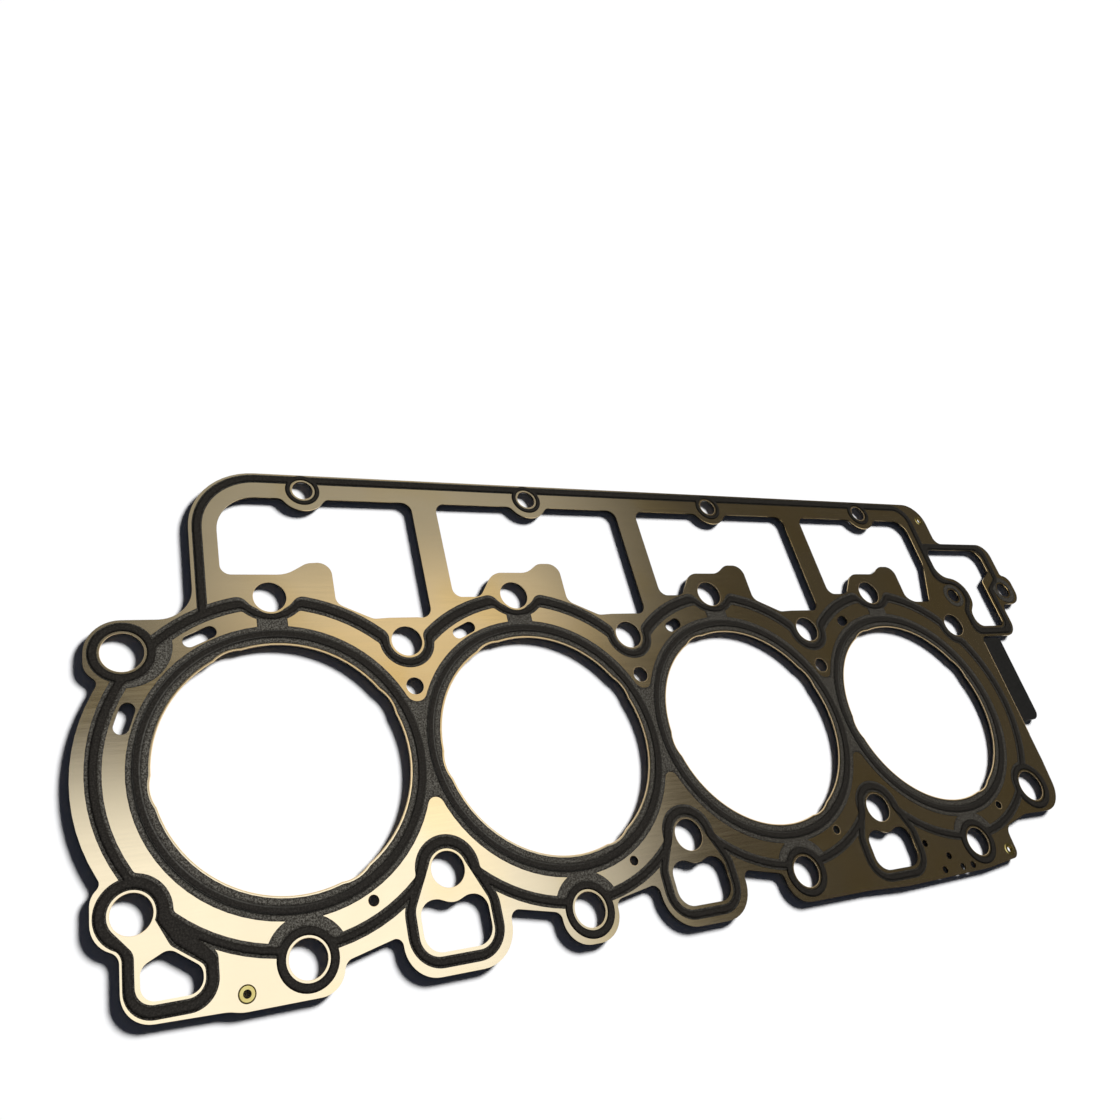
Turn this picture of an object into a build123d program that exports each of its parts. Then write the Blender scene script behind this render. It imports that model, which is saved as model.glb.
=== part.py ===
from build123d import *
from math import cos, hypot, radians, sin, sqrt, tan
import os

# Layered steel cylinder head gasket for one bank of four cylinders, in millimetres.
# Two punched sheets are held together by three tube rivets. The lower one is coated all over,
# and the upper one carries a printed elastomer seal with raised lines.
# The origin is on the first bore's axis, at the level of the lower face.
# +X runs along the row of bores, +Y points to the window rail, +Z points to the cylinder head.

# ---- driving dimensions -------------------------------------------------------------------
bore_count = 4
bore_pitch = 115.0
bridge = 15.0            # steel between two neighbouring bores

lower_t = 0.80           # coated lower sheet
upper_t = 0.35           # bare upper sheet
print_t = 0.10           # printed elastomer
line_h = 0.16            # rise of a sealing line above the print

bolt_d = 14.2            # clearance holes for the head bolts
dowel_d = 16.4           # holes in two opposite corners, which take the locating dowels
coolant_d = 8.0
vent_d = 4.4
code_d = 3.4             # thickness code punched near the right foot
oil_d = 8.4              # oil feed beside the end loop
lug_d = 9.6              # screw hole in the loop's lug
boss_d = 9.8             # screw holes along the window rail

bore_rim = 0.6           # bare margin between a bore's edge and its print
ring_w = 8.5             # from a bore's edge to the outside of its print
bore_line_w = 2.9        # sealing line round a bore
island_w = 7.7           # bare steel between a bore's print and the coolant line
jacket_w = 5.9           # print along the coolant line
line_w = 2.8             # sealing line along a coolant, oil or frame path
hole_rim = 0.8           # bare margin round a sealed bolt hole
foot_ring_w = 4.1        # print round a foot bolt, outside its hole
dowel_ring_w = 4.5       # print round a dowel hole, outside the hole
web_w = 12.8             # solid print between a bore and the bolts level with it
frame_w = 4.2            # print along the rail and the loop

scallop_r = 15.3         # relief nicks in a bore's edge
scallop_depth = 0.9
scallop_angles = (27, 113, 188, 295)

post_w = 12.4            # posts between the windows
rail_w = 12.9
boss_r = 11.0            # rail bosses
pocket_w = 28.0          # oil drain pockets
tab_w = 15.5             # tab of the lower sheet past the right edge
tab_r = 5.0

rivet_d = 4.0            # barrel of a tube rivet
rivet_bore_d = 2.9
rivet_flange_d = 6.2
rivet_flange_t = 0.18

# ---- places that follow from them ---------------------------------------------------------
half_pitch = bore_pitch / 2
bore_r = half_pitch - bridge / 2
bolt_r = bolt_d / 2
dowel_r = dowel_d / 2
ring_r = bore_r + ring_w
bore_line_r = bore_r + 0.55 * ring_w
jacket_r = ring_r + island_w + jacket_w / 2

whole_bolt_y = bore_r + 22.0                                 # level with a bore, window side
foot_bolt_y = -bore_r - 21.7                                 # level with a bore, foot side
half_bolt_y = sqrt((bore_r + 26.1) ** 2 - half_pitch ** 2)   # between two bores, window side
low_bolt_y = -sqrt((bore_r + 25.0) ** 2 - half_pitch ** 2)   # between two bores, foot side

bays = [k * bore_pitch for k in range(bore_count)]
gaps = [x + half_pitch for x in bays[:-1]]
last = bays[-1]
left_end = -half_pitch
right_end = last + half_pitch
right_edge = right_end + 19

rail_y = whole_bolt_y + 63.2
window_top = rail_y - rail_w
window_left = -31.0
window_right = window_left + bore_pitch - post_w
boss_x = 20.0
boss_y = rail_y - 8.2
pocket_top = low_bolt_y - 10.4
pocket_bottom = low_bolt_y - 29.4
loop_top = half_bolt_y + 56.5
lug_x = right_end + 59.5
lug_y = half_bolt_y + 23.2
oil_x = right_end + 12
oil_y = half_bolt_y + 19.7

upper_z = lower_t
top_z = upper_z + upper_t

bolts = [(x, whole_bolt_y) for x in bays] + [(x, foot_bolt_y) for x in bays]
bolts += [(x, half_bolt_y) for x in gaps + [right_end]]
bolts += [(x, low_bolt_y) for x in [left_end] + gaps]
dowels = [(left_end - 0.9, half_bolt_y - 1.4), (right_end, low_bolt_y)]
rivets = {
    "eyelet_left": (left_end + 35.7, foot_bolt_y - 7.6),
    "eyelet_right": (last + 19.5, foot_bolt_y - 6.3),
    "eyelet_rear": (right_end + 13.5, rail_y - 11.7),
}


# ---- outlines -----------------------------------------------------------------------------
def outline(*corners):
    """A closed face through corners (x, y, radius), each rounded as far as its sides allow."""
    count = len(corners)
    points = [Vector(x, y) for x, y, _ in corners]
    sides = [points[(i + 1) % count] - points[i] for i in range(count)]
    halves = [radians(180 - sides[i - 1].get_angle(sides[i])) / 2 for i in range(count)]
    wanted = [corners[i][2] / tan(halves[i]) for i in range(count)]
    reach = list(wanted)
    for i in range(count):
        j = (i + 1) % count
        crowd = (wanted[i] + wanted[j]) / (0.98 * sides[i].length)
        if crowd > 1:
            reach[i] = min(reach[i], wanted[i] / crowd)
            reach[j] = min(reach[j], wanted[j] / crowd)
    edges = []
    ends = []
    for i in range(count):
        back = sides[i - 1].normalized() * -1
        ahead = sides[i].normalized()
        start = points[i] + back * reach[i]
        end = points[i] + ahead * reach[i]
        radius = reach[i] * tan(halves[i])
        if radius > 0:
            crown = radius / sin(halves[i]) - radius
            middle = points[i] + (back + ahead).normalized() * crown
            edges.append(ThreePointArc(start, middle, end))
        ends.append((start, end))
    for i in range(count):
        edges.append(Line(ends[i - 1][1], ends[i][0]))
    return make_face(Wire(edges))


def mirrored(corners, axis_x):
    return [(2 * axis_x - x, y, r) for x, y, r in reversed(corners)]


def disc(x, y, radius):
    return Pos(x, y) * Circle(radius)


def slab(x0, x1, y0, y1):
    return Pos((x0 + x1) / 2, (y0 + y1) / 2) * Rectangle(x1 - x0, y1 - y0)


def sharp_corners(face):
    """Vertices where two edges of a face meet at an angle."""
    found = []
    for v in face.vertices():
        spot = Vector(v.X, v.Y)
        aims = [e % 0 for e in face.edges() if (e @ 0 - spot).length < 0.001]
        aims += [e % 1 for e in face.edges() if (e @ 1 - spot).length < 0.001]
        if len(aims) == 2 and abs(aims[0].dot(aims[1])) < 0.95:
            found.append(v)
    return found


def soften(area, radius):
    """The area with its sharp corners rounded."""
    soft = Sketch()
    for face in area.faces():
        corners = sharp_corners(face)
        soft = soft + (fillet(corners, radius) if corners else face)
    return soft


def body_outline():
    """The outer edge that both sheets share, clockwise from the notch above the left foot."""
    left_side = [
        (left_end - 9.3, low_bolt_y + 10.8, 3),
        (-bore_r - 36, -1.5, bore_r + 26),
        (left_end - 9.4, half_bolt_y - 13.2, 3),
        (left_end - 14.8, half_bolt_y - 8.8, 8),
        (left_end - 14.8, half_bolt_y + 12.4, 13.8),
        (window_left - 0.2, half_bolt_y + 12.4, 14),
        (window_left - 0.2, rail_y, 30),
    ]
    right_side = [
        (right_edge - 0.5, rail_y, 14),
        (right_edge - 0.5, loop_top, 5),
        (lug_x + 4.5, loop_top, 9),
        (lug_x + 4.5, lug_y + 10.5, 3),
        (lug_x + 11, lug_y + 9.5, 8),
        (lug_x + 11, lug_y - 9.5, 9),
        (lug_x - 7.5, lug_y - 10, 4),
        (lug_x - 7.5, half_bolt_y - 8, 9),
        (right_edge, half_bolt_y - 8, 4),
        (right_edge, low_bolt_y + 13, 30),
        (right_edge - 1.5, low_bolt_y - 14.3, 15),
        (right_end - 14.5, low_bolt_y - 14, 4),
        (right_end - 24, low_bolt_y - 16.4, 6),
        (last + 24.3, foot_bolt_y + 4.6, 6),
        (last + 24.3, foot_bolt_y - 10.6, 4.5),
        (last, foot_bolt_y - 13.2, 30),
    ]
    foot = [(gaps[-1], foot_bolt_y - 14.3, 60), (gaps[-1] - 24, foot_bolt_y - 13, 30)]
    for gap in reversed(gaps[:-1]):
        bolt = gap + half_pitch
        foot += [
            (bolt - 13.2, foot_bolt_y - 13, 12.5),
            (bolt - 13.2, foot_bolt_y + 0.8, 4),
            (gap + 22.4, foot_bolt_y + 5.5, 3.5),
            (gap + 22.4, foot_bolt_y - 14.1, 15),
            (gap - 22.3, foot_bolt_y - 14.1, 15),
        ]
        if gap > gaps[0]:
            foot.append((gap - 22.3, foot_bolt_y + 5.7, 3.5))
            foot.append((gap - half_pitch + 13, foot_bolt_y + 1.8, 4))
            foot.append((gap - half_pitch + 12.8, foot_bolt_y - 13, 12.5))
    left_foot = [
        (gaps[0] - 22.3, foot_bolt_y + 2.4, 3.5),
        (13.2, foot_bolt_y - 2.9, 4),
        (10.8, foot_bolt_y - 13.1, 9.5),
        (left_end + 33.5, foot_bolt_y - 13.1, 20),
        (left_end + 29.5, foot_bolt_y - 12, 20),
        (left_end - 4.1, foot_bolt_y - 11.1, 10.5),
        (left_end - 4.1, low_bolt_y - 12.4, 5),
        (left_end - 13, low_bolt_y - 8.3, 12),
        (left_end - 13, low_bolt_y + 7.2, 8),
    ]
    return outline(*left_side, *right_side, *foot, *left_foot)


def window(k):
    """One window of the rail, with a bolt's lug and a rail boss standing into it."""
    x = bays[k]
    middle = x + half_pitch
    shelf = half_bolt_y + 11.4
    if k == 0:
        face = [
            (x - 19.5, window_top, 18),
            (x - 19.5, whole_bolt_y + 10.8, 4.5),
            (x + 8, whole_bolt_y + 10.8, 14),
            (x + 17.5, whole_bolt_y + 16.5, 7),
        ]
    else:
        face = [
            (x + window_left, window_top, 5),
            (x + window_left, whole_bolt_y - 0.7, 4.5),
            (x - 17.5, whole_bolt_y - 0.7, 5),
            (x - 8.5, whole_bolt_y + 12.2, 9),
            (x + 10, whole_bolt_y + 12.2, 10),
            (x + 17, whole_bolt_y + 17.3, 7),
        ]
    face += [(x + 28.3, whole_bolt_y + 17.3, 6), (x + 28.3, whole_bolt_y - 3.4, 5)]
    if k == bore_count - 1:
        face += [
            (x + 34, shelf + 4.4, 8),
            (middle - 11, shelf + 4.4, 2.5),
            (middle - 1.5, shelf + 29.8, 8),
            (middle - 1.5, window_top, 9),
        ]
    else:
        face += [
            (middle - 13.5, shelf - 0.4, 6),
            (middle - 6, shelf, 8),
            (middle + 7, shelf, 8),
            (x + window_right, shelf - 0.8, 5),
            (x + window_right, window_top, 5),
        ]
    opening = outline(*face) - disc(x + boss_x, boss_y, boss_r)
    half_boss = hypot(boss_r, 0.01)
    roots = [v for v in opening.vertices() if abs(v.Y - window_top) < 0.01]
    roots = [v for v in roots if abs(v.X - x - boss_x) < half_boss]
    return fillet(roots, 4)


def loop_opening():
    """The gap of the end loop, which bends round the oil feed hole."""
    return outline(
        (right_end + 7, loop_top - 4.5, 5),
        (right_end + 54, loop_top - 4.5, 8),
        (right_end + 54, lug_y + 13, 3),
        (right_end + 44.5, lug_y + 6.5, 3),
        (right_end + 44.5, half_bolt_y - 1.3, 4),
        (right_end + 21, half_bolt_y - 1.3, 6),
        (right_end + 21, half_bolt_y + 8.2, 6),
        (right_end + 26.5, oil_y - 5, 9),
        (right_end + 26.5, oil_y + 10, 12),
        (right_end + 7, oil_y + 13.5, 9),
    )


def pocket(x):
    """Oil drain pocket below a low bolt, with two humps in its upper edge."""
    half = pocket_w / 2
    side = [(x + half, pocket_top, 6), (x + half, pocket_bottom, 7)]
    hump = half / 2.3
    humps = [(x - hump, pocket_top, 6), (x, pocket_top - 2.6, 8), (x + hump, pocket_top, 6)]
    return outline(*mirrored(side, x), *humps, *side)


def left_pocket():
    return outline(
        (left_end + 2.1, pocket_bottom + 1.2, 5),
        (left_end + 2.1, pocket_top - 6.8, 4.5),
        (left_end + 11.5, pocket_top - 2.2, 4.5),
        (left_end + 22.1, pocket_top - 9.8, 4.5),
        (left_end + 22.1, pocket_bottom + 1.2, 5),
    )


def bore_edge(x, rim=0):
    """A bore with its shallow relief nicks, wider all round by a rim."""
    face = disc(x, 0, bore_r + rim)
    reach = bore_r + scallop_depth - scallop_r
    for angle in scallop_angles:
        nick = Pos(reach * cos(radians(angle)), reach * sin(radians(angle))) * Circle(scallop_r + rim)
        face = face + Pos(x, 0) * nick
    return face


def coolant_slots():
    """Coolant slots of the window side, which shorten from the first bore to the last."""
    cuts = [Pos(left_end - 0.7, 21.6) * Rot(0, 0, 72) * SlotCenterToCenter(7, 5.8)]
    for k, x in enumerate(bays):
        slot = SlotCenterToCenter(8.9 - 2.2 * k, 5.4)
        cuts.append(Pos(x - 29.4, bore_r + 4.4) * Rot(0, 0, 25) * slot)
    return cuts


def small_holes():
    """Coolant, vent, code, oil, rivet and screw holes."""
    cuts = [disc(x, half_bolt_y - 21.2, coolant_d / 2) for x in gaps]
    cuts += [disc(x + 26.3, -bore_r - 5.6, vent_d / 2) for x in bays]
    code = [(21.1, 3.3), (33.5, -4.3), (27.3, -10.3), (39.9, -10.3), (47.2, -10.3)]
    cuts += [disc(gaps[-1] + dx, foot_bolt_y + dy, code_d / 2) for dx, dy in code]
    cuts += [disc(x, y, rivet_d / 2) for x, y in rivets.values()]
    cuts += [disc(x + boss_x, boss_y, boss_d / 2) for x in bays]
    cuts += [disc(oil_x, oil_y, oil_d / 2), disc(lug_x, lug_y, lug_d / 2)]
    return cuts


def sheet_face():
    """A punched sheet, the same for both layers apart from the tab."""
    cuts = [bore_edge(x) for x in bays] + [window(k) for k in range(bore_count)]
    cuts += [loop_opening(), left_pocket()] + [pocket(x) for x in gaps]
    cuts += [disc(x, y, bolt_r) for x, y in bolts]
    cuts += [disc(x, y, dowel_r) for x, y in dowels]
    return body_outline() - (cuts + coolant_slots() + small_holes())


def tab():
    return outline(
        (right_edge - 6, half_bolt_y - 9.3, 0),
        (right_edge + tab_w, half_bolt_y - 9.3, 2),
        (right_edge + tab_w, low_bolt_y + 36.7, tab_r),
        (right_edge - 6, low_bolt_y + 36.7, 0),
    )


# ---- print --------------------------------------------------------------------------------
# Each area below ends at one line of a path's print. Its side says which:
# 1 is the print's outer edge, 0 the middle of its sealing line, -1 its inner edge.
def low_ring(x, side):
    return disc(x, low_bolt_y, bolt_r + 3.6 + side * 2.8)


def jacket(side):
    """The area inside the coolant line, which dips round the bolts between the bores."""
    reach = side * jacket_w / 2
    area = slab(0, last, low_bolt_y + 10.7, half_bolt_y - 5.8)
    area = area + [disc(x, 0.85 + side * 0.55, jacket_r + reach) for x in bays]
    dip = side * 2.3
    cuts = [disc(x, half_bolt_y, bolt_r + 3.2 - dip) for x in gaps + [right_end]]
    cuts += [disc(x, whole_bolt_y + 5.5, 14.7 - dip) for x in bays]
    if side < 1:
        cuts += [low_ring(x, -side) for x in [left_end] + gaps + [right_end]]
        cuts += [disc(x, foot_bolt_y, bolt_r + 2.4 - reach) for x in bays]
        cuts.append(disc(*dowels[0], dowel_r + 2.5 - reach))
    return soften(area - cuts, 3.5 + side * 1.5)


def keyhole(x, side):
    """The oil path round a low bolt and the pocket below it."""
    ring = bolt_r + 3.6 + side * 2.8
    left = x - pocket_w / 2 - 4 - side * 2.2
    right = x + pocket_w / 2 + 2.9 + side * 2.1
    bottom = pocket_bottom - 3.4 - side * 2.05
    corner = 10 + side * 2.5
    skirt = outline(
        (x - 0.88 * ring, low_bolt_y + 0.45 * ring, 0),
        (left, pocket_top - 2.9, corner),
        (left, bottom, corner),
        (right, bottom, corner),
        (right, pocket_top - 2.9, corner),
        (x + 0.88 * ring, low_bolt_y + 0.45 * ring, 0),
    )
    return skirt + low_ring(x, side)


def left_keyhole(side):
    """The oil path round the leftmost low bolt and its narrower pocket."""
    ring = bolt_r + 3 + side * 2.2
    left = left_end - 1.5 - side * 1.9
    right = left_end + 25 + side * 2.2
    bottom = pocket_bottom - 2.1 - side * 2.3
    skirt = outline(
        (left_end - 0.8 * ring, low_bolt_y - 0.6 * ring, 0),
        (left, low_bolt_y - 12.5, 5),
        (left, bottom, 8 + side * 2),
        (right, bottom, 8 + side * 2),
        (right, low_bolt_y - 18.2 + side * 1.5, 3.5),
        (left_end + 15.8 + side * 3.8, low_bolt_y - 9.7 + side * 2.2, 4),
        (left_end + 0.9 * ring, low_bolt_y - 0.3 * ring, 0),
    )
    return skirt + disc(left_end, low_bolt_y, ring)


def frame(side):
    """The path along the window rail, open towards the coolant line."""
    half = side * frame_w / 2
    left = window_left + 3.3 - half
    right = right_end + 4.3 + half
    high = rail_y - 2.9 + half
    foot = sqrt(jacket_r ** 2 - (window_left + 3.3) ** 2)
    return outline((left, foot, 0), (left, high, 27 + half), (right, high, 11 + half), (right, foot, 0))


def loop(side):
    """The path round the loop's opening."""
    half = side * frame_w / 2
    return outline(
        (right_end + 4.3 - half, loop_top - 2.25 + half, 6),
        (right_end + 57.7 + half, loop_top - 2.25 + half, 7),
        (right_end + 57.7 + half, lug_y + 8, 4),
        (right_end + 48.1 + half, lug_y + 1, 4),
        (right_end + 48.1 + half, half_bolt_y - 4.6 - half, 6),
        (right_end + 17.5 - half, half_bolt_y - 4.6 - half, 6),
        (right_end + 17.5 - half, half_bolt_y + 9.7, 6),
        (right_end + 23.1 - half, oil_y - 3, 9),
        (right_end + 23.1 - half, oil_y + 7.5, 10),
        (right_end + 4.3 - half, oil_y + 10.5 - half, 8),
    )


def frame_path(side):
    """A band along the frame path, as wide as side says, from the coolant line to the loop."""
    return frame(side) - frame(-side) - slab(last, right_edge, 0, loop_top - 6)


def bare_islands():
    """Bare steel left between the bores' print and the coolant line."""
    bare = jacket(-1) - [disc(x, 0, ring_r) for x in bays]
    bare = bare - [slab(x - web_w / 2, x + web_w / 2, -whole_bolt_y, whole_bolt_y) for x in bays]
    bare = bare - [slab(x - 9, x + 9, low_bolt_y + 28.7, half_bolt_y - 28.3) for x in gaps]
    bare = bare - [disc(x, foot_bolt_y, 2 - foot_bolt_y - ring_r) for x in bays]
    bare = bare - disc(left_end + 0.3, half_bolt_y + 1.2, dowel_r + 9.2)
    return soften(bare, 1.8)


def print_face():
    """The whole seal print."""
    lug = disc(lug_x, lug_y, lug_d / 2 + 4.2)
    area = jacket(1) + frame_path(1) + (loop(1) + lug - loop(-1))
    area = area + [keyhole(x, 1) for x in gaps] + [left_keyhole(1)]
    area = area + [disc(x, foot_bolt_y, bolt_r + foot_ring_w) for x in bays]
    area = area + [disc(x, y, dowel_r + dowel_ring_w) for x, y in dowels]
    area = area + [disc(x + boss_x, boss_y, boss_d / 2 + 3) for x in bays]
    area = area - bare_islands() - [keyhole(x, -1) for x in gaps] - left_keyhole(-1)
    area = area + disc(oil_x, oil_y, oil_d / 2 + 3.4)
    rims = [(x, y, bolt_r + hole_rim) for x, y in bolts]
    rims += [(x, y, dowel_r + hole_rim) for x, y in dowels]
    rims += [(x + boss_x, boss_y, boss_d / 2 + hole_rim) for x in bays]
    rims += [(oil_x, oil_y, oil_d / 2 + hole_rim), (lug_x, lug_y, lug_d / 2 + hole_rim)]
    area = area - [disc(x, y, radius) for x, y, radius in rims]
    return area - [bore_edge(x, bore_rim) for x in bays]


def ring_line(x, y, radius, width):
    return disc(x, y, radius + width / 2) - disc(x, y, radius - width / 2)


def sealing_lines():
    """The raised lines: one round each bore, and one along each other path of the print."""
    half = line_w / 2
    lines = jacket(line_w / jacket_w) - jacket(-line_w / jacket_w)
    lines = lines + [keyhole(x, half / 2.5) - keyhole(x, -half / 2.5) for x in gaps]
    lines = lines + (left_keyhole(half / 2.1) - left_keyhole(-half / 2.1))
    lines = lines + [ring_line(x, foot_bolt_y, bolt_r + 2.4, line_w) for x in bays]
    lines = lines + [ring_line(x, y, dowel_r + 2.5, line_w) for x, y in dowels]
    lines = lines + [ring_line(x, 0, bore_line_r, bore_line_w) for x in bays]
    lines = lines + [ring_line(x + boss_x, boss_y, boss_d / 2 + 1.9, 1.8) for x in bays]
    return lines + frame_path(line_w / frame_w) + (loop(line_w / frame_w) - loop(-line_w / frame_w))


# ---- solids -------------------------------------------------------------------------------
def layer(face, z, thickness):
    return Pos(0, 0, z) * extrude(face, thickness)


def rivet(x, y):
    """A tube rivet: its lower flange is set flush and its upper one lies on the steel."""
    barrel = rivet_d / 2
    bore = rivet_bore_d / 2
    flange = rivet_flange_d / 2
    section = outline(
        (bore, 0, 0),
        (flange, 0, 0),
        (flange, rivet_flange_t, 0),
        (barrel, rivet_flange_t, 0),
        (barrel, top_z, 0),
        (flange, top_z, 0),
        (flange - 0.5, top_z + rivet_flange_t, 0),
        (bore, top_z + rivet_flange_t, 0),
    )
    return Pos(x, y) * revolve(Plane.XZ * section, Axis.Z)


os.makedirs("parts", exist_ok=True)

sheet = sheet_face()
lower_sheet = layer(sheet + tab(), 0, lower_t)
for x, y in rivets.values():
    lower_sheet = lower_sheet - layer(disc(x, y, rivet_flange_d / 2), 0, rivet_flange_t)
export_step(lower_sheet, "parts/lower_sheet.step")
export_step(layer(sheet, upper_z, upper_t), "parts/upper_sheet.step")

pattern = print_face()
lines = sealing_lines() & pattern
upper_seal_print = layer(pattern, top_z, print_t) + layer(lines, top_z, print_t + line_h)
export_step(upper_seal_print, "parts/upper_seal_print.step")

for name, (x, y) in rivets.items():
    export_step(rivet(x, y), f"parts/{name}.step")
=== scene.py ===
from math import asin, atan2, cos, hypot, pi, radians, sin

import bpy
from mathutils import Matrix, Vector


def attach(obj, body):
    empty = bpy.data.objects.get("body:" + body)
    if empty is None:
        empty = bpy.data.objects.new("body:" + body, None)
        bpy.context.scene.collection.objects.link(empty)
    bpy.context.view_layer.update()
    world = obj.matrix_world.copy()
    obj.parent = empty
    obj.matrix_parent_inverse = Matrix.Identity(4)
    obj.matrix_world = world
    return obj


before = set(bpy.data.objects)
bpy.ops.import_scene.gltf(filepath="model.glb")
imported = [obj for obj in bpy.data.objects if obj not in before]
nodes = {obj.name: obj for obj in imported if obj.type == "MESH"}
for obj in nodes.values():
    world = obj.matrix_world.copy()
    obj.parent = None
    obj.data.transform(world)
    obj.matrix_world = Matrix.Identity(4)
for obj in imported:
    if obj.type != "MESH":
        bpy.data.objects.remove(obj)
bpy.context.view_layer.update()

# %% [markdown]
# # Layered steel head gasket
# Two punched steel sheets lie on each other, held by three brass eyelets. The lower one is coated dark. The upper
# one is bare, with a black elastomer print on it, whose raised lines seal round the bores, bolt holes and pockets.
#
# The solids come ready from the CAD part, and their meshes stay as they are. This lesson gives them materials made
# of nodes, adds the thin bright edges that a punch leaves and the round ends of the bare steel islands, and sets up
# a table, a world with soft boxes, a sun and a camera.

MM = 0.001                            # Blender works in metres, and the lengths below are in millimetres

print("CAD nodes:", ", ".join(sorted(nodes)))

# %% [markdown]
# ## Short calls for nodes
# A material in Blender is a graph of small nodes. Written out in full, each takes three or four lines, and the idea
# gets lost. The nodes could be drawn by hand in the editor instead, but a script can be read and changed. So this
# class gives one short call for each kind of step: a sum, a blend of colours, noise and a bump. `span` is used
# most. It turns a measure, such as a height or a radius, into a mask with soft ends.

# %% A node tree with short calls
class Graph:
    """A node tree, cleared and ready to be filled."""

    def __init__(self, tree):
        self.tree = tree
        tree.nodes.clear()

    def add(self, kind, **values):
        """A node of any kind, with its inputs given by name."""
        node = self.tree.nodes.new(kind)
        for name, value in values.items():
            self.feed(node.inputs[name], value)
        return node

    def feed(self, socket, value):
        """Link another socket to this one, or set this one to a plain value."""
        if isinstance(value, bpy.types.NodeSocket):
            self.tree.links.new(value, socket)
        elif isinstance(value, (tuple, list)) and len(value) == 3 and socket.type == "RGBA":
            socket.default_value = (*value, 1)
        else:
            socket.default_value = value

    def math(self, operation, a, b=0.0):
        node = self.tree.nodes.new("ShaderNodeMath")
        node.operation = operation
        self.feed(node.inputs[0], a)
        self.feed(node.inputs[1], b)
        return node.outputs[0]

    def mix(self, factor, a, b, blend="MIX"):
        node = self.tree.nodes.new("ShaderNodeMix")
        node.data_type = "RGBA"
        node.blend_type = blend
        for index, value in ((0, factor), (6, a), (7, b)):      # 6 and 7 are the sockets for colours
            self.feed(node.inputs[index], value)
        return node.outputs[2]

    def span(self, value, low, high, to_low=0.0, to_high=1.0):
        """Takes low..high to to_low..to_high, clamped and with eased ends."""
        node = self.tree.nodes.new("ShaderNodeMapRange")
        node.interpolation_type = "SMOOTHSTEP"
        for socket, v in zip(node.inputs, (value, low, high, to_low, to_high)):
            self.feed(socket, v)
        return node.outputs[0]

    def noise(self, where, scale, detail, rough, stretch=(1, 1, 1)):
        mapping = self.add("ShaderNodeMapping", Vector=where, Scale=stretch)
        node = self.add("ShaderNodeTexNoise", Vector=mapping.outputs[0], Scale=scale, Detail=detail,
                        Roughness=rough)
        return node.outputs[0]

    def bump(self, height, strength, distance, normal=None):
        node = self.add("ShaderNodeBump", Height=height, Strength=strength, Distance=distance)
        if normal is not None:
            self.feed(node.inputs["Normal"], normal)
        return node.outputs[0]


# %% [markdown]
# ## Grain, as a shared node group
# The dark coating, the print and the brass all have fine grain. It could be built again in each material. Here it is
# a node group instead: a graph with named inputs and outputs that is built once and placed in each material with
# its own values. It puts out a shade and a height only. The shaders stay in the materials, where an exporter can
# read them.

# %% The grain group
GRAIN_INPUTS = {"Where": "Vector", "Scale": "Float", "Rough": "Float", "Low": "Float", "High": "Float",
                "Dark": "Color", "Light": "Color"}
GRAIN_DETAIL = 3


def grain_group():
    """Fine noise that blends a dark and a light shade between two of its levels."""
    tree = bpy.data.node_groups.new("grain", "ShaderNodeTree")
    for name, kind in GRAIN_INPUTS.items():
        tree.interface.new_socket(name, in_out="INPUT", socket_type="NodeSocket" + kind)
    tree.interface.new_socket("Shade", in_out="OUTPUT", socket_type="NodeSocketColor")
    tree.interface.new_socket("Height", in_out="OUTPUT", socket_type="NodeSocketFloat")
    g = Graph(tree)
    given, out = g.add("NodeGroupInput").outputs, g.add("NodeGroupOutput")
    noise = g.add("ShaderNodeTexNoise", Vector=given["Where"], Scale=given["Scale"], Detail=GRAIN_DETAIL,
                  Roughness=given["Rough"])
    share = g.span(noise.outputs[0], given["Low"], given["High"])
    g.feed(out.inputs["Shade"], g.mix(share, given["Dark"], given["Light"]))
    g.feed(out.inputs["Height"], noise.outputs[0])
    return tree


GRAIN = grain_group()


def grain(g, where, scale, rough, low, high, dark, light):
    """One use of the group in a material. Gives its shade and its height."""
    node = g.tree.nodes.new("ShaderNodeGroup")
    node.node_tree = GRAIN
    for name, value in zip(GRAIN_INPUTS, (where, scale, rough, low, high, dark, light)):
        g.feed(node.inputs[name], value)
    return node.outputs["Shade"], node.outputs["Height"]


print("grain group:", len(GRAIN.nodes), "nodes")

# %% [markdown]
# ## A material to start from
# A pattern has to know where it is on the piece. It could read the piece's box or a UV map, but a box stretches
# with the piece and a flat sheet needs no map. Object coordinates are the piece's own places in metres, so a
# pattern keeps its real size and stays put from every side.

# %% Start a material, and put one on a CAD node
def material(name):
    """A material with a Principled surface, and the coordinates that its patterns read."""
    mat = bpy.data.materials.new(name)
    mat.use_nodes = True
    g = Graph(mat.node_tree)
    where = g.add("ShaderNodeTexCoord").outputs["Object"]
    surface = g.add("ShaderNodeBsdfPrincipled")
    g.add("ShaderNodeOutputMaterial", Surface=surface.outputs[0])
    return mat, g, where, surface


def wear(mat, *names):
    """Dress CAD nodes in a material. The shapes of their meshes aren't touched."""
    for name in names:
        mesh = nodes[name].data
        mesh.materials.clear()
        mesh.materials.append(mat)
    print(mat.name, "with", len(mat.node_tree.nodes), "nodes, on", ", ".join(names))


# %% [markdown]
# ## Bare steel
# The upper sheet is rolled steel with a straw tint, and close to a mirror. A picture of brushed metal could be laid
# on it, but nearly all of its look is what it reflects, so a plain metal with low roughness is the better start.
# Noise stretched along the sheet gives it faint rolling lines, and two slow noises give it clouds and stains.

# %% The upper sheet
STRAW = (0.94, 0.70, 0.36)


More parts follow.
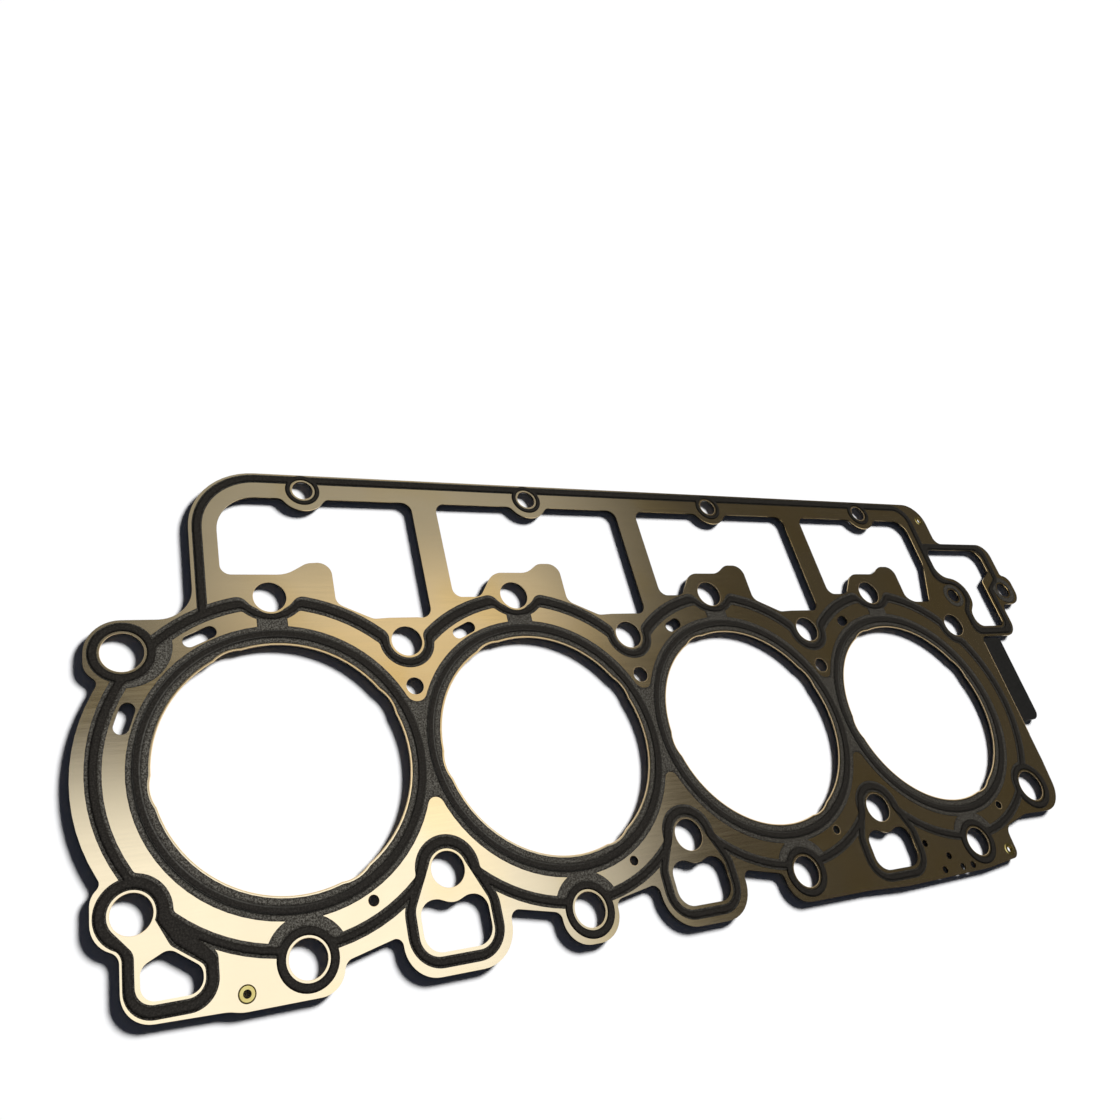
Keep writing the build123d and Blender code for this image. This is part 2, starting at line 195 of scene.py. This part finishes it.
def bare_steel():
    mat, g, where, surface = material("bare_steel")
    clouds = g.noise(where, scale=18, detail=3, rough=0.6)
    lines = g.noise(where, scale=1400, detail=2, rough=0.6, stretch=(0.04, 1, 1))
    stains = g.noise(where, scale=22, detail=1, rough=0.4)
    straw = g.mix(g.span(clouds, 0.35, 0.7), [v * 0.97 for v in STRAW], [v * 1.03 for v in STRAW])
    straw = g.mix(g.span(stains, 0.5, 0.68, 0, 0.55), straw, (STRAW[0], STRAW[1] * 0.93, STRAW[2] * 0.7))
    g.feed(surface.inputs["Base Color"], straw)
    g.feed(surface.inputs["Metallic"], 1)
    g.feed(surface.inputs["Roughness"], g.span(lines, 0.3, 0.7, 0.11, 0.15))
    g.feed(surface.inputs["Normal"], g.bump(lines, strength=0.05, distance=0.01 * MM))
    return mat


wear(bare_steel(), "upper_sheet")

# %% [markdown]
# ## Dark coating
# The lower sheet is covered all over with a thin dull layer, which shows on the tab at the right. Plain black would
# be quicker to set, but it hides the edges. A near-black with fine grain and a weak warm gloss keeps the form.

# %% The lower sheet
WARM = (1.0, 0.82, 0.6)               # tint of the weak gloss on both dark finishes


def coated_steel():
    mat, g, where, surface = material("coated_steel")
    shade, _ = grain(g, where, scale=900, rough=0.6, low=0.2, high=0.8,
                     dark=(0.008, 0.008, 0.007), light=(0.018, 0.017, 0.015))
    g.feed(surface.inputs["Base Color"], shade)
    g.feed(surface.inputs["Roughness"], 0.5)
    g.feed(surface.inputs["Specular IOR Level"], 0.25)
    g.feed(surface.inputs["Specular Tint"], WARM)
    return mat


wear(coated_steel(), "lower_sheet")

# %% [markdown]
# ## Printed seal: where its lines are
# The seal is elastomer that is printed on the sheet. Its flats look grainy and grey, and its raised lines smooth
# and darker. Each line could have a material of its own, but the print is one piece, and one material can tell its
# parts apart by measuring the place: the height gives the raised lines, and the distance from the nearest bore's
# middle gives the line round each bore.

# %% Masks for the lines
BORE_PITCH = 115                      # from one bore's middle to the next
TOP = 1.15                            # upper face of the upper sheet
RAISED = (0.12, 0.20)                 # heights over the sheet between which the flat turns into a line
BORE_LINE = (53.0, 53.7, 55.9, 56.9)  # radii between which the line round a bore fades in and out


def nearest_bore(g, x, y):
    """Distance from the nearest bore's middle, and how much of it is along x."""
    bay = g.math("ROUND", g.math("DIVIDE", x, BORE_PITCH * MM))
    bay = g.math("MINIMUM", g.math("MAXIMUM", bay, 0.0), 3.0)
    side = g.math("SUBTRACT", x, g.math("MULTIPLY", bay, BORE_PITCH * MM))
    radius = g.math("SQRT", g.math("ADD", g.math("MULTIPLY", side, side), g.math("MULTIPLY", y, y)))
    return radius, side


def smooth_lines(g, z, radius):
    """A mask of the raised lines and of the line round each bore."""
    raised = g.span(z, (TOP + RAISED[0]) * MM, (TOP + RAISED[1]) * MM)
    start, full, fade, end = (r * MM for r in BORE_LINE)
    ring = g.math("MULTIPLY", g.span(radius, start, full), g.span(radius, fade, end, 1, 0))
    return g.math("MAXIMUM", raised, ring)


print("lines from", TOP + RAISED[0], "mm up, and from radius", BORE_LINE[0], "to", BORE_LINE[3], "mm")

# %% [markdown]
# ## Printed seal: its steps and glints
# The real lines have soft shoulders, which shade and catch the light. The CAD's are square and a sixth of a
# millimetre high. Rounding them in the mesh would take many faces. A Bevel node rounds only how they are shaded,
# and where its normal leaves the true one there is a step, which makes a mask for a painted shade along the steps.
# The glints are painted highlights: two thin pale circles on the bore line's shoulders, strongest on the left.

# %% Masks for the steps and the glints
STEP_ROUND = 1.1
GLINTS = ((56.15, 0.1, 0.4, 1), (53.6, 0.1, 0.45, 0.7))     # radius, full within, gone by, strength


def steps(g):
    """A mask of the print's steps, and a normal that rounds them."""
    rounded = g.add("ShaderNodeBevel", Radius=STEP_ROUND * MM)
    rounded.samples = 8
    agree = g.tree.nodes.new("ShaderNodeVectorMath")
    agree.operation = "DOT_PRODUCT"
    g.feed(agree.inputs[0], rounded.outputs[0])
    g.feed(agree.inputs[1], g.add("ShaderNodeNewGeometry").outputs["Normal"])
    return g.span(agree.outputs["Value"], 0.9, 0.999, 1, 0), rounded.outputs[0]


def glints(g, radius, side, specks):
    """A mask of thin circles beside the line round each bore, broken up by specks."""
    circles = []
    for circle, full, gone, strength in GLINTS:
        away = g.math("ABSOLUTE", g.math("SUBTRACT", radius, circle * MM))
        circles.append(g.span(away, full * MM, gone * MM, strength, 0))
    west = g.span(g.math("DIVIDE", side, radius), -1.0, 0.5, 1, 0.12)
    shown = g.math("MULTIPLY", g.math("MAXIMUM", *circles), west)
    return g.math("MULTIPLY", shown, g.span(specks, 0.3, 0.6, 0.3, 0.8))


print("steps rounded by", STEP_ROUND, "mm, glints at radii", [glint[0] for glint in GLINTS], "mm")

# %% [markdown]
# ## Printed seal: its shades
# The shades could come as one image, but it would blur up close. Mix nodes can lay one shade over another instead,
# in order, as a painter would: the grainy flat and its pale specks, the smooth lines over it, a painted shade along
# the steps and last the painted highlights of the glints. The print is also painted darker towards the tab, a
# painted shade for the dimmer light at that end. A real one is most likely even, so that part is a choice of look.

# %% The print
SPECK = (0.28, 0.27, 0.24)
# painted shade: the print's colour at the tab end, where the light is dimmer
TAB_PAINTED_SHADE = (0.017, 0.014, 0.010)
# painted shade along the steps of the raised lines
STEP_PAINTED_SHADE = (0.007, 0.006, 0.005)
GLINT = (0.12, 0.115, 0.10)


def seal_print():
    mat, g, where, surface = material("seal_print")
    x, y, z = g.add("ShaderNodeSeparateXYZ", Vector=where).outputs
    radius, side = nearest_bore(g, x, y)
    smooth = smooth_lines(g, z, radius)
    edge, rounded = steps(g)
    specks = g.noise(where, scale=900, detail=2, rough=0.6)
    # painted shade: 1 at the left end, down to half at the tab end, as the light falls off along the part; it also dims
    # the glints
    light = g.span(x, -80 * MM, 340 * MM, 1, 0.5)

    flat, height = grain(g, where, scale=1500, rough=0.8, low=0.40, high=0.66,
                         dark=(0.028, 0.025, 0.020), light=(0.165, 0.155, 0.132))
    flat = g.mix(g.span(specks, 0.66, 0.8, 0, 0.35), flat, SPECK)
    # painted shade: the flat darkens towards the tab
    flat = g.mix(light, TAB_PAINTED_SHADE, flat)
    line, _ = grain(g, where, scale=1500, rough=0.8, low=0.4, high=0.7,
                    dark=(0.012, 0.0105, 0.0085), light=(0.036, 0.0325, 0.027))
    colour = g.mix(smooth, flat, line)
    # painted shade: darker along the steps of the raised lines
    colour = g.mix(g.math("MULTIPLY", edge, 0.7), colour, STEP_PAINTED_SHADE)
    colour = g.mix(g.math("MULTIPLY", glints(g, radius, side, specks), light), colour, GLINT)

    g.feed(surface.inputs["Base Color"], colour)
    g.feed(surface.inputs["Roughness"], g.span(smooth, 0, 1, 0.62, 0.45))
    g.feed(surface.inputs["Specular IOR Level"], 0.15)
    g.feed(surface.inputs["Specular Tint"], WARM)
    g.feed(surface.inputs["Normal"], g.bump(height, strength=0.35, distance=0.05 * MM, normal=rounded))
    return mat


print_mat = seal_print()
wear(print_mat, "upper_seal_print")

# %% [markdown]
# ## Brass eyelets
# Each eyelet is a short brass tube, pressed flat at both ends so that it holds the sheets together. Its form is all
# in the CAD. The finish could have scratches and dents, but the piece is only a few millimetres wide, so a yellow
# metal with a little roughness and two close shades is enough.

# %% The eyelets
def eyelet_brass():
    mat, g, where, surface = material("eyelet_brass")
    shade, _ = grain(g, where, scale=400, rough=0.5, low=0.2, high=0.8,
                     dark=(0.66, 0.47, 0.12), light=(0.74, 0.56, 0.17))
    g.feed(surface.inputs["Base Color"], shade)
    g.feed(surface.inputs["Metallic"], 1)
    g.feed(surface.inputs["Roughness"], 0.25)
    return mat


wear(eyelet_brass(), "eyelet_left", "eyelet_right", "eyelet_rear")

# %% [markdown]
# ## Punched edges: where they run
# A press rolls the edge of each hole over slightly, and that thin line catches the light. A bevel on the sheet could
# show it, but the sheet's mesh stays as the CAD made it, so a thin round section is swept along each edge instead.
# First come the places: the bores, which have shallow relief nicks, the round holes, and a short edge at the tab.

# %% Places of the edges
BORE_R = 50
BORES = [k * BORE_PITCH for k in range(4)]              # x of each bore's middle
GAPS = [x + BORE_PITCH / 2 for x in BORES]              # x half way to the next bore, and once past the last
LEFT_END = -BORE_PITCH / 2
NICK_R, NICK_DEPTH, NICK_TURNS = 15.3, 0.9, (27, 113, 188, 295)
EDGE_R, BORE_EDGE_R = 0.16, 0.3                         # radius of the swept section on holes and on bores

# x, y and radius of each round hole
HOLES = [(x, 72, 7.1) for x in BORES] + [(x, -71.7, 7.1) for x in BORES]            # bolts level with a bore
HOLES += [(x, 49.85, 7.1) for x in GAPS]                                            # bolts between bores, behind
HOLES += [(x, -48.15, 7.1) for x in [LEFT_END] + GAPS[:3]]                          # and in front
HOLES += [(-58.4, 48.45, 8.2), (402.5, -48.15, 8.2)]                                # dowels
HOLES += [(x + 20, 127, 4.9) for x in BORES]                                        # screws along the rail
HOLES += [(x, 28.65, 4.0) for x in GAPS[:3]]                                        # coolant
HOLES += [(x + 26.3, -55.6, 2.2) for x in BORES]                                    # vents

TAB_EDGE = [(421.5, y, TOP) for y in range(38, -21, -2)]
print(len(BORES), "bores,", len(HOLES), "round holes, and the edge beside the tab in", len(TAB_EDGE), "places")

# %% [markdown]
# ## Punched edges: the path round a bore
# A bore's edge is a circle with four shallow nicks, cut by a smaller circle whose middle lies inside the bore. It
# could be a boolean of five discs. The outline is also simple to work out: at each degree it is the bore's radius or
# the reach of a nick, whichever is larger.

# %% Paths in millimetres, as meshes in metres
def bore_path(x):
    """The edge of the bore whose middle is at x, one place a degree."""
    places = []
    reach = BORE_R + NICK_DEPTH - NICK_R                # from the bore's middle to a nick's
    for degree in range(360):
        turn = radians(degree)
        far = BORE_R
        for nick in NICK_TURNS:
            off = turn - radians(nick)
            if cos(off) > 0 and abs(reach * sin(off)) < NICK_R:
                far = max(far, reach * cos(off) + (NICK_R ** 2 - (reach * sin(off)) ** 2) ** 0.5)
        places.append((x + far * cos(turn), far * sin(turn), TOP - 0.8 * BORE_EDGE_R))
    return places


def path_mesh(name, places, closed):
    """The places joined by edges. An open path has no edge from its last place to its first."""
    mesh = bpy.data.meshes.new(name)
    count = len(places)
    edges = [(i, (i + 1) % count) for i in range(count if closed else count - 1)]
    mesh.from_pydata([(x * MM, y * MM, z * MM) for x, y, z in places], edges, [])
    return mesh


def hole_points(name):
    """A loose point for each round hole, with its radius as an attribute."""
    mesh = bpy.data.meshes.new(name)
    mesh.from_pydata([(x * MM, y * MM, (TOP - EDGE_R) * MM) for x, y, _ in HOLES], [], [])
    radii = mesh.attributes.new("hole_radius", "FLOAT_VECTOR", "POINT")
    for item, (_, _, r) in zip(radii.data, HOLES):
        item.vector = (r * MM, r * MM, 1)
    return mesh


deepest = max(hypot(x, y) for x, y, _ in bore_path(0)) - BORE_R
print("the nicks reach", round(deepest, 2), "mm past the bore's radius")

# %% [markdown]
# ## Punched edges: the Geometry Nodes group
# The sweep is the same for every edge, so it is one Geometry Nodes group with named inputs. A curve object with a
# bevel could do it too, but its circles would have to be drawn one by one. Given a path, the group turns its edges
# into a curve. Given points, it sets a circle on each, as wide as the point's attribute says. Either way a small
# circle is then swept along. It ends in Realize Instances and Set Material, because an exporter drops instances.

# %% The group that sweeps a section
CIRCLE_STEPS, SECTION_STEPS = 96, 8
EDGE_INPUTS = {"Path": "Geometry", "Section Radius": "Float", "Section Steps": "Int", "On Points": "Bool",
               "Material": "Material"}


def edge_group():
    tree = bpy.data.node_groups.new("punched_edge", "GeometryNodeTree")
    for name, kind in EDGE_INPUTS.items():
        tree.interface.new_socket(name, in_out="INPUT", socket_type="NodeSocket" + kind)
    tree.interface.new_socket("Edge", in_out="OUTPUT", socket_type="NodeSocketGeometry")
    g = Graph(tree)
    given, out = g.add("NodeGroupInput").outputs, g.add("NodeGroupOutput")

    # points: a circle of its own radius on each
    circle = g.add("GeometryNodeCurvePrimitiveCircle", Resolution=CIRCLE_STEPS, Radius=1)
    own = g.tree.nodes.new("GeometryNodeInputNamedAttribute")
    own.data_type = "FLOAT_VECTOR"
    g.feed(own.inputs["Name"], "hole_radius")
    size = next(socket for socket in own.outputs if socket.enabled)
    place = g.add("GeometryNodeInstanceOnPoints", Points=given["Path"], Instance=circle.outputs[0], Scale=size)
    round_holes = g.add("GeometryNodeRealizeInstances", Geometry=place.outputs[0])

    # or a path, as it is
    path = g.add("GeometryNodeMeshToCurve", Mesh=given["Path"])
    choose = g.tree.nodes.new("GeometryNodeSwitch")
    choose.input_type = "GEOMETRY"
    for name, value in (("Switch", given["On Points"]), ("False", path.outputs[0]),
                        ("True", round_holes.outputs[0])):
        g.feed(choose.inputs[name], value)

    # the sweep
    section = g.add("GeometryNodeCurvePrimitiveCircle", Resolution=given["Section Steps"],
                    Radius=given["Section Radius"])
    sweep = g.tree.nodes.new("GeometryNodeCurveToMesh")
    for name, value in (("Curve", choose.outputs[0]), ("Profile Curve", section.outputs[0]), ("Fill Caps", True)):
        g.feed(sweep.inputs[name], value)
    whole = g.add("GeometryNodeRealizeInstances", Geometry=sweep.outputs[0])
    paint = g.add("GeometryNodeSetMaterial", Geometry=whole.outputs[0], Material=given["Material"])
    g.feed(out.inputs["Edge"], paint.outputs[0])
    return tree


EDGE_GROUP = edge_group()
print("punched_edge group:", len(EDGE_GROUP.nodes), "nodes")

# %% [markdown]
# ## Punched edges: from group to plain mesh
# The modifier could stay live on the piece, but a plain mesh is the same for the renderer and for an exporter. So
# the group runs on a helper object, `new_from_object` keeps the result, and the helper goes. The group's inputs are
# set by the sockets' identifiers, not their names, and before the helper is first evaluated.

# %% Run the group, and add a finished mesh to the part
def add_piece(name, mesh):
    """A finished mesh as a piece that rides on the part."""
    obj = bpy.data.objects.new(name, mesh)
    bpy.context.collection.objects.link(obj)
    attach(obj, "root")
    print(name, "has", len(mesh.polygons), "faces")


def swept_edge(name, mesh, mat, on_points, section):
    """The group's result on a path or on points."""
    helper = bpy.data.objects.new(name + "_path", mesh)
    bpy.context.collection.objects.link(helper)
    run = helper.modifiers.new("edge", "NODES")
    run.node_group = EDGE_GROUP
    key = {item.name: item.identifier for item in EDGE_GROUP.interface.items_tree if item.in_out == "INPUT"}
    run[key["Material"]] = mat
    run[key["On Points"]] = on_points
    run[key["Section Radius"]] = section * MM
    run[key["Section Steps"]] = SECTION_STEPS
    bpy.context.view_layer.update()
    result = bpy.data.meshes.new_from_object(helper.evaluated_get(bpy.context.evaluated_depsgraph_get()))
    bpy.data.objects.remove(helper)
    for face in result.polygons:
        face.use_smooth = True
    add_piece(name, result)


# %% [markdown]
# ## Punched edges: finish and pieces
# Where the punch has sheared the steel, it is rougher than the rolled face and less of a mirror. A full metal would
# go dark wherever it mirrors the dim room. Partly metal and partly plain, the line stays bright from most sides.

# %% Make the edges
def bright_edge():
    mat, g, where, surface = material("sheared_edge")
    streaks = g.noise(where, scale=700, detail=2, rough=0.6)
    g.feed(surface.inputs["Base Color"], g.mix(streaks, (0.80, 0.56, 0.27), (1.0, 0.78, 0.46)))
    g.feed(surface.inputs["Metallic"], 0.35)
    g.feed(surface.inputs["Roughness"], 0.35)
    return mat


edge_mat = bright_edge()
for number, x in enumerate(BORES, 1):
    name = f"bore_edge_{number}"
    swept_edge(name, path_mesh(name, bore_path(x), True), edge_mat, False, BORE_EDGE_R)
swept_edge("hole_edges", hole_points("hole_edges"), edge_mat, True, EDGE_R)
swept_edge("tab_edge", path_mesh("tab_edge", TAB_EDGE, False), edge_mat, False, EDGE_R)

# %% [markdown]
# ## Round ends of the steel islands: the outline
# Between two bores the print leaves an island of bare steel, which ends in a small arc that touches both bore rings.
# The CAD ends it straight. The arc could be drawn by hand, but it follows from what it touches: its middle is on
# the gap's centre line, and it meets both rings and a point just inside the island's end. What is needed is the
# sliver of print between the straight end, the two rings and that arc.

# %% Outline of one sliver
RING_R = 58.5                         # outside of the printed ring round a bore
ISLAND_ENDS = ((19.45, -1), (21.55, 1))  # straight end's distance from the row of bores, in front and behind
ARC_IN, LAP = 0.1, 0.2                # the arc starts this far inside the island, and the sliver laps back by this
ARC_STEPS, RING_STEPS = 10, 6


def sliver(gap, end, side):
    """Its outline at the gap whose centre line is at x = gap."""
    half = BORE_PITCH / 2
    first = end + ARC_IN
    r = (RING_R ** 2 - half ** 2 - first ** 2) / (2 * (first - RING_R))
    middle = first + r
    lean = atan2(middle, half)        # direction from a bore's middle to the arc's
    stop = asin(first / RING_R)
    arc = [pi / 2 - (pi / 2 - lean) * k / ARC_STEPS for k in range(ARC_STEPS + 1)]
    ring = [lean + (stop - lean) * k / RING_STEPS for k in range(1, RING_STEPS + 1)]
    right = [(r * cos(t), middle - r * sin(t)) for t in arc]
    right += [(half - RING_R * cos(t), RING_R * sin(t)) for t in ring]
    left = [(-u, v) for u, v in reversed(right[1:])]
    return [(gap + u, side * v) for u, v in left + right + [(0.0, first - LAP)]]


print("a sliver has", len(sliver(GAPS[0], *ISLAND_ENDS[0])), "corners")

# %% [markdown]
# ## Round ends of the steel islands: closed blocks
# A flat face would show the same from above, but it has open edges and no thickness. Each outline is made a closed
# block as thick as the print. A face points outwards when its corners run anticlockwise as seen from outside, so an
# outline that runs clockwise is turned round first.

# %% Raise the slivers to blocks
PRINT_T = 0.1


def add_block(outline, verts, faces):
    """A closed block from the sheet to the print's flat top, added to the lists."""
    area = sum(a[0] * b[1] - b[0] * a[1] for a, b in zip(outline, outline[1:] + outline[:1]))
    if area < 0:
        outline = outline[::-1]
    first, n = len(verts), len(outline)
    for height in (TOP, TOP + PRINT_T):
        verts += [(u * MM, v * MM, height * MM) for u, v in outline]
    faces.append([first + i for i in reversed(range(n))])
    faces.append([first + n + i for i in range(n)])
    faces += [[first + i, first + (i + 1) % n, first + n + (i + 1) % n, first + n + i] for i in range(n)]


verts, faces = [], []
for gap in GAPS[:3]:
    for end, side in ISLAND_ENDS:
        add_block(sliver(gap, end, side), verts, faces)
tips = bpy.data.meshes.new("print_tips")
tips.from_pydata(verts, [], faces)
tips.materials.append(print_mat)
add_piece("print_tips", tips)

# %% [markdown]
# ## Table
# The gasket lies just above a plain white table. A white world alone would do as a background, but then nothing
# would catch the narrow shadow that shows how thin the gasket is. Seen from below, the table's back is clear, so
# the underside can be looked at.

# %% The table
FLOOR_GAP = 2.1
FLOOR_SIZE = 8                        # metres
FLOOR_WHITE = (0.99, 0.99, 0.99)


def table_top():
    bpy.ops.mesh.primitive_plane_add(size=FLOOR_SIZE, location=(0, 0, -FLOOR_GAP * MM))
    floor = bpy.context.object
    floor.name = "table_top"
    mat = bpy.data.materials.new("table_white")
    mat.use_nodes = True
    g = Graph(mat.node_tree)
    diffuse = g.add("ShaderNodeBsdfDiffuse", Color=FLOOR_WHITE)
    clear = g.add("ShaderNodeBsdfTransparent")
    either = g.tree.nodes.new("ShaderNodeMixShader")
    from_below = g.add("ShaderNodeNewGeometry").outputs["Backfacing"]
    for index, value in enumerate((from_below, diffuse.outputs[0], clear.outputs[0])):
        g.feed(either.inputs[index], value)
    g.add("ShaderNodeOutputMaterial", Surface=either.outputs[0])
    floor.data.materials.append(mat)
    print("table top at", -FLOOR_GAP, "mm")


table_top()

# %% [markdown]
# ## Soft boxes
# The steel is a mirror, so its look is the look of what hangs above it. Area lamps could hang there, but their hard
# outlines would show. Here three soft boxes are painted into the world, each a rectangle with blurred sides in a dim
# room. Their places are slopes: how far a ray goes sideways for each metre that it rises. The front box is mirrored
# at the foot of the gasket and fades out to the right, which takes the sheet from cream to brown. Only mirrored rays
# see the boxes. The camera sees white, and all other rays a weak fill.

# %% The world
# centre, half width and blur, each across and along, then strength and tint
SOFT_BOXES = {
    "front": ((0.15, 0.05), (0.24, 0.18), (0.36, 0.18), 1.2, (0.90, 1.06, 1.5)),
    "band": ((0.42, 0.42), (0.05, 0.06), (0.26, 0.16), 0.5, (1.1, 1.0, 0.8)),
    "rear": ((0.40, 0.64), (0.16, 0.08), (0.34, 0.20), 0.36, (0.80, 0.92, 1.20)),
}
ROOM = 0.055                          # the dim room round the boxes, as a share of white
LOWEST_RISE = 0.02                    # keeps the slopes finite near the horizon
FILL, FILL_TINT = 0.03, (0.6, 0.7, 1.0)


def soft_boxes(g):
    """The colour that a mirrored ray meets, worked out from its direction."""
    aim = g.add("ShaderNodeSeparateXYZ", Vector=g.add("ShaderNodeTexCoord").outputs["Generated"])
    rise = g.math("MAXIMUM", aim.outputs[2], LOWEST_RISE)
    slopes = [g.math("DIVIDE", aim.outputs[k], rise) for k in (0, 1)]
    seen = (ROOM, ROOM, ROOM)
    for centre, half, blur, strength, tint in SOFT_BOXES.values():
        inside = 1.0
        for slope, middle, width, soft in zip(slopes, centre, half, blur):
            away = g.math("ABSOLUTE", g.math("SUBTRACT", slope, middle))
            inside = g.math("MULTIPLY", inside, g.span(away, width, width + soft, 1, 0))
        box = g.mix(inside, (0, 0, 0), tuple(strength * t for t in tint))
        seen = g.mix(1.0, seen, box, "ADD")
    return seen


def studio_world():
    world = bpy.data.worlds.new("studio")
    bpy.context.scene.world = world
    world.use_nodes = True
    g = Graph(world.node_tree)
    rays = g.add("ShaderNodeLightPath").outputs
    mirrored = g.add("ShaderNodeBackground", Color=soft_boxes(g), Strength=1.0)
    white = g.add("ShaderNodeBackground", Color=(1, 1, 1), Strength=1.0)
    shown = g.add("ShaderNodeBackground", Color=FILL_TINT, Strength=FILL)
    for ray, other in (("Is Glossy Ray", mirrored), ("Is Camera Ray", white)):
        choose = g.tree.nodes.new("ShaderNodeMixShader")
        for index, value in enumerate((rays[ray], shown.outputs[0], other.outputs[0])):
            g.feed(choose.inputs[index], value)
        shown = choose
    g.add("ShaderNodeOutputWorld", Surface=shown.outputs[0])
    print("world with", len(SOFT_BOXES), "soft boxes and", len(world.node_tree.nodes), "nodes")


studio_world()

# %% [markdown]
# ## Sun
# One broad sun from the right and behind lights the print and the table and throws the shadows. An area lamp would
# light the near end more than the far one, and a sun lights the whole part alike. It is set so that a level face
# shows about the colour that is written in its material. The steel doesn't mirror it.

# %% The sun
SUN_ENERGY = 5.35
SUN_WIDTH, SUN_AZIMUTH, SUN_RISE = radians(16), radians(34), radians(36)


def key_light():
    sun = bpy.data.lights.new("key", "SUN")
    sun.energy = SUN_ENERGY
    sun.angle = SUN_WIDTH
    obj = bpy.data.objects.new("key", sun)
    bpy.context.collection.objects.link(obj)
    obj.visible_glossy = False        # the steel mirrors the soft boxes alone
    toward = Vector((cos(SUN_AZIMUTH) * cos(SUN_RISE), sin(SUN_AZIMUTH) * cos(SUN_RISE), sin(SUN_RISE)))
    obj.rotation_euler = toward.to_track_quat("Z", "Y").to_euler()
    print("a level face shows", round(SUN_ENERGY * sin(SUN_RISE) / pi, 2), "of its written colour by the sun")


key_light()

# %% [markdown]
# ## Camera
# The camera stands over the near left corner, a little over a third of a metre up, with a fairly wide lens, so the
# first bore looks much larger than the last. The part could be centred by turning the camera, but that would change its
# perspective. A small shift of the lens frames it and leaves the perspective alone.

# %% The camera
SENSOR, LENS = 36, 31.32
SHIFT = (0.0375, -0.0281)
CAMERA_PLACE = (-0.09148, -0.12255, 0.36767)            # metres
CAMERA_TURNS = (34.7805, -23.1663, -13.6567)            # degrees


def camera():
    cam = bpy.data.cameras.new("camera")
    cam.sensor_width, cam.lens = SENSOR, LENS
    cam.shift_x, cam.shift_y = SHIFT
    obj = bpy.data.objects.new("camera", cam)
    bpy.context.collection.objects.link(obj)
    obj.location = CAMERA_PLACE
    obj.rotation_euler = [radians(turn) for turn in CAMERA_TURNS]
    bpy.context.scene.camera = obj
    print("camera", round(CAMERA_PLACE[2], 2), "m up, field of view", round(2 * atan2(SENSOR / 2, LENS) * 180 / pi),
          "degrees")


camera()
bpy.context.scene.view_settings.view_transform = "Standard"
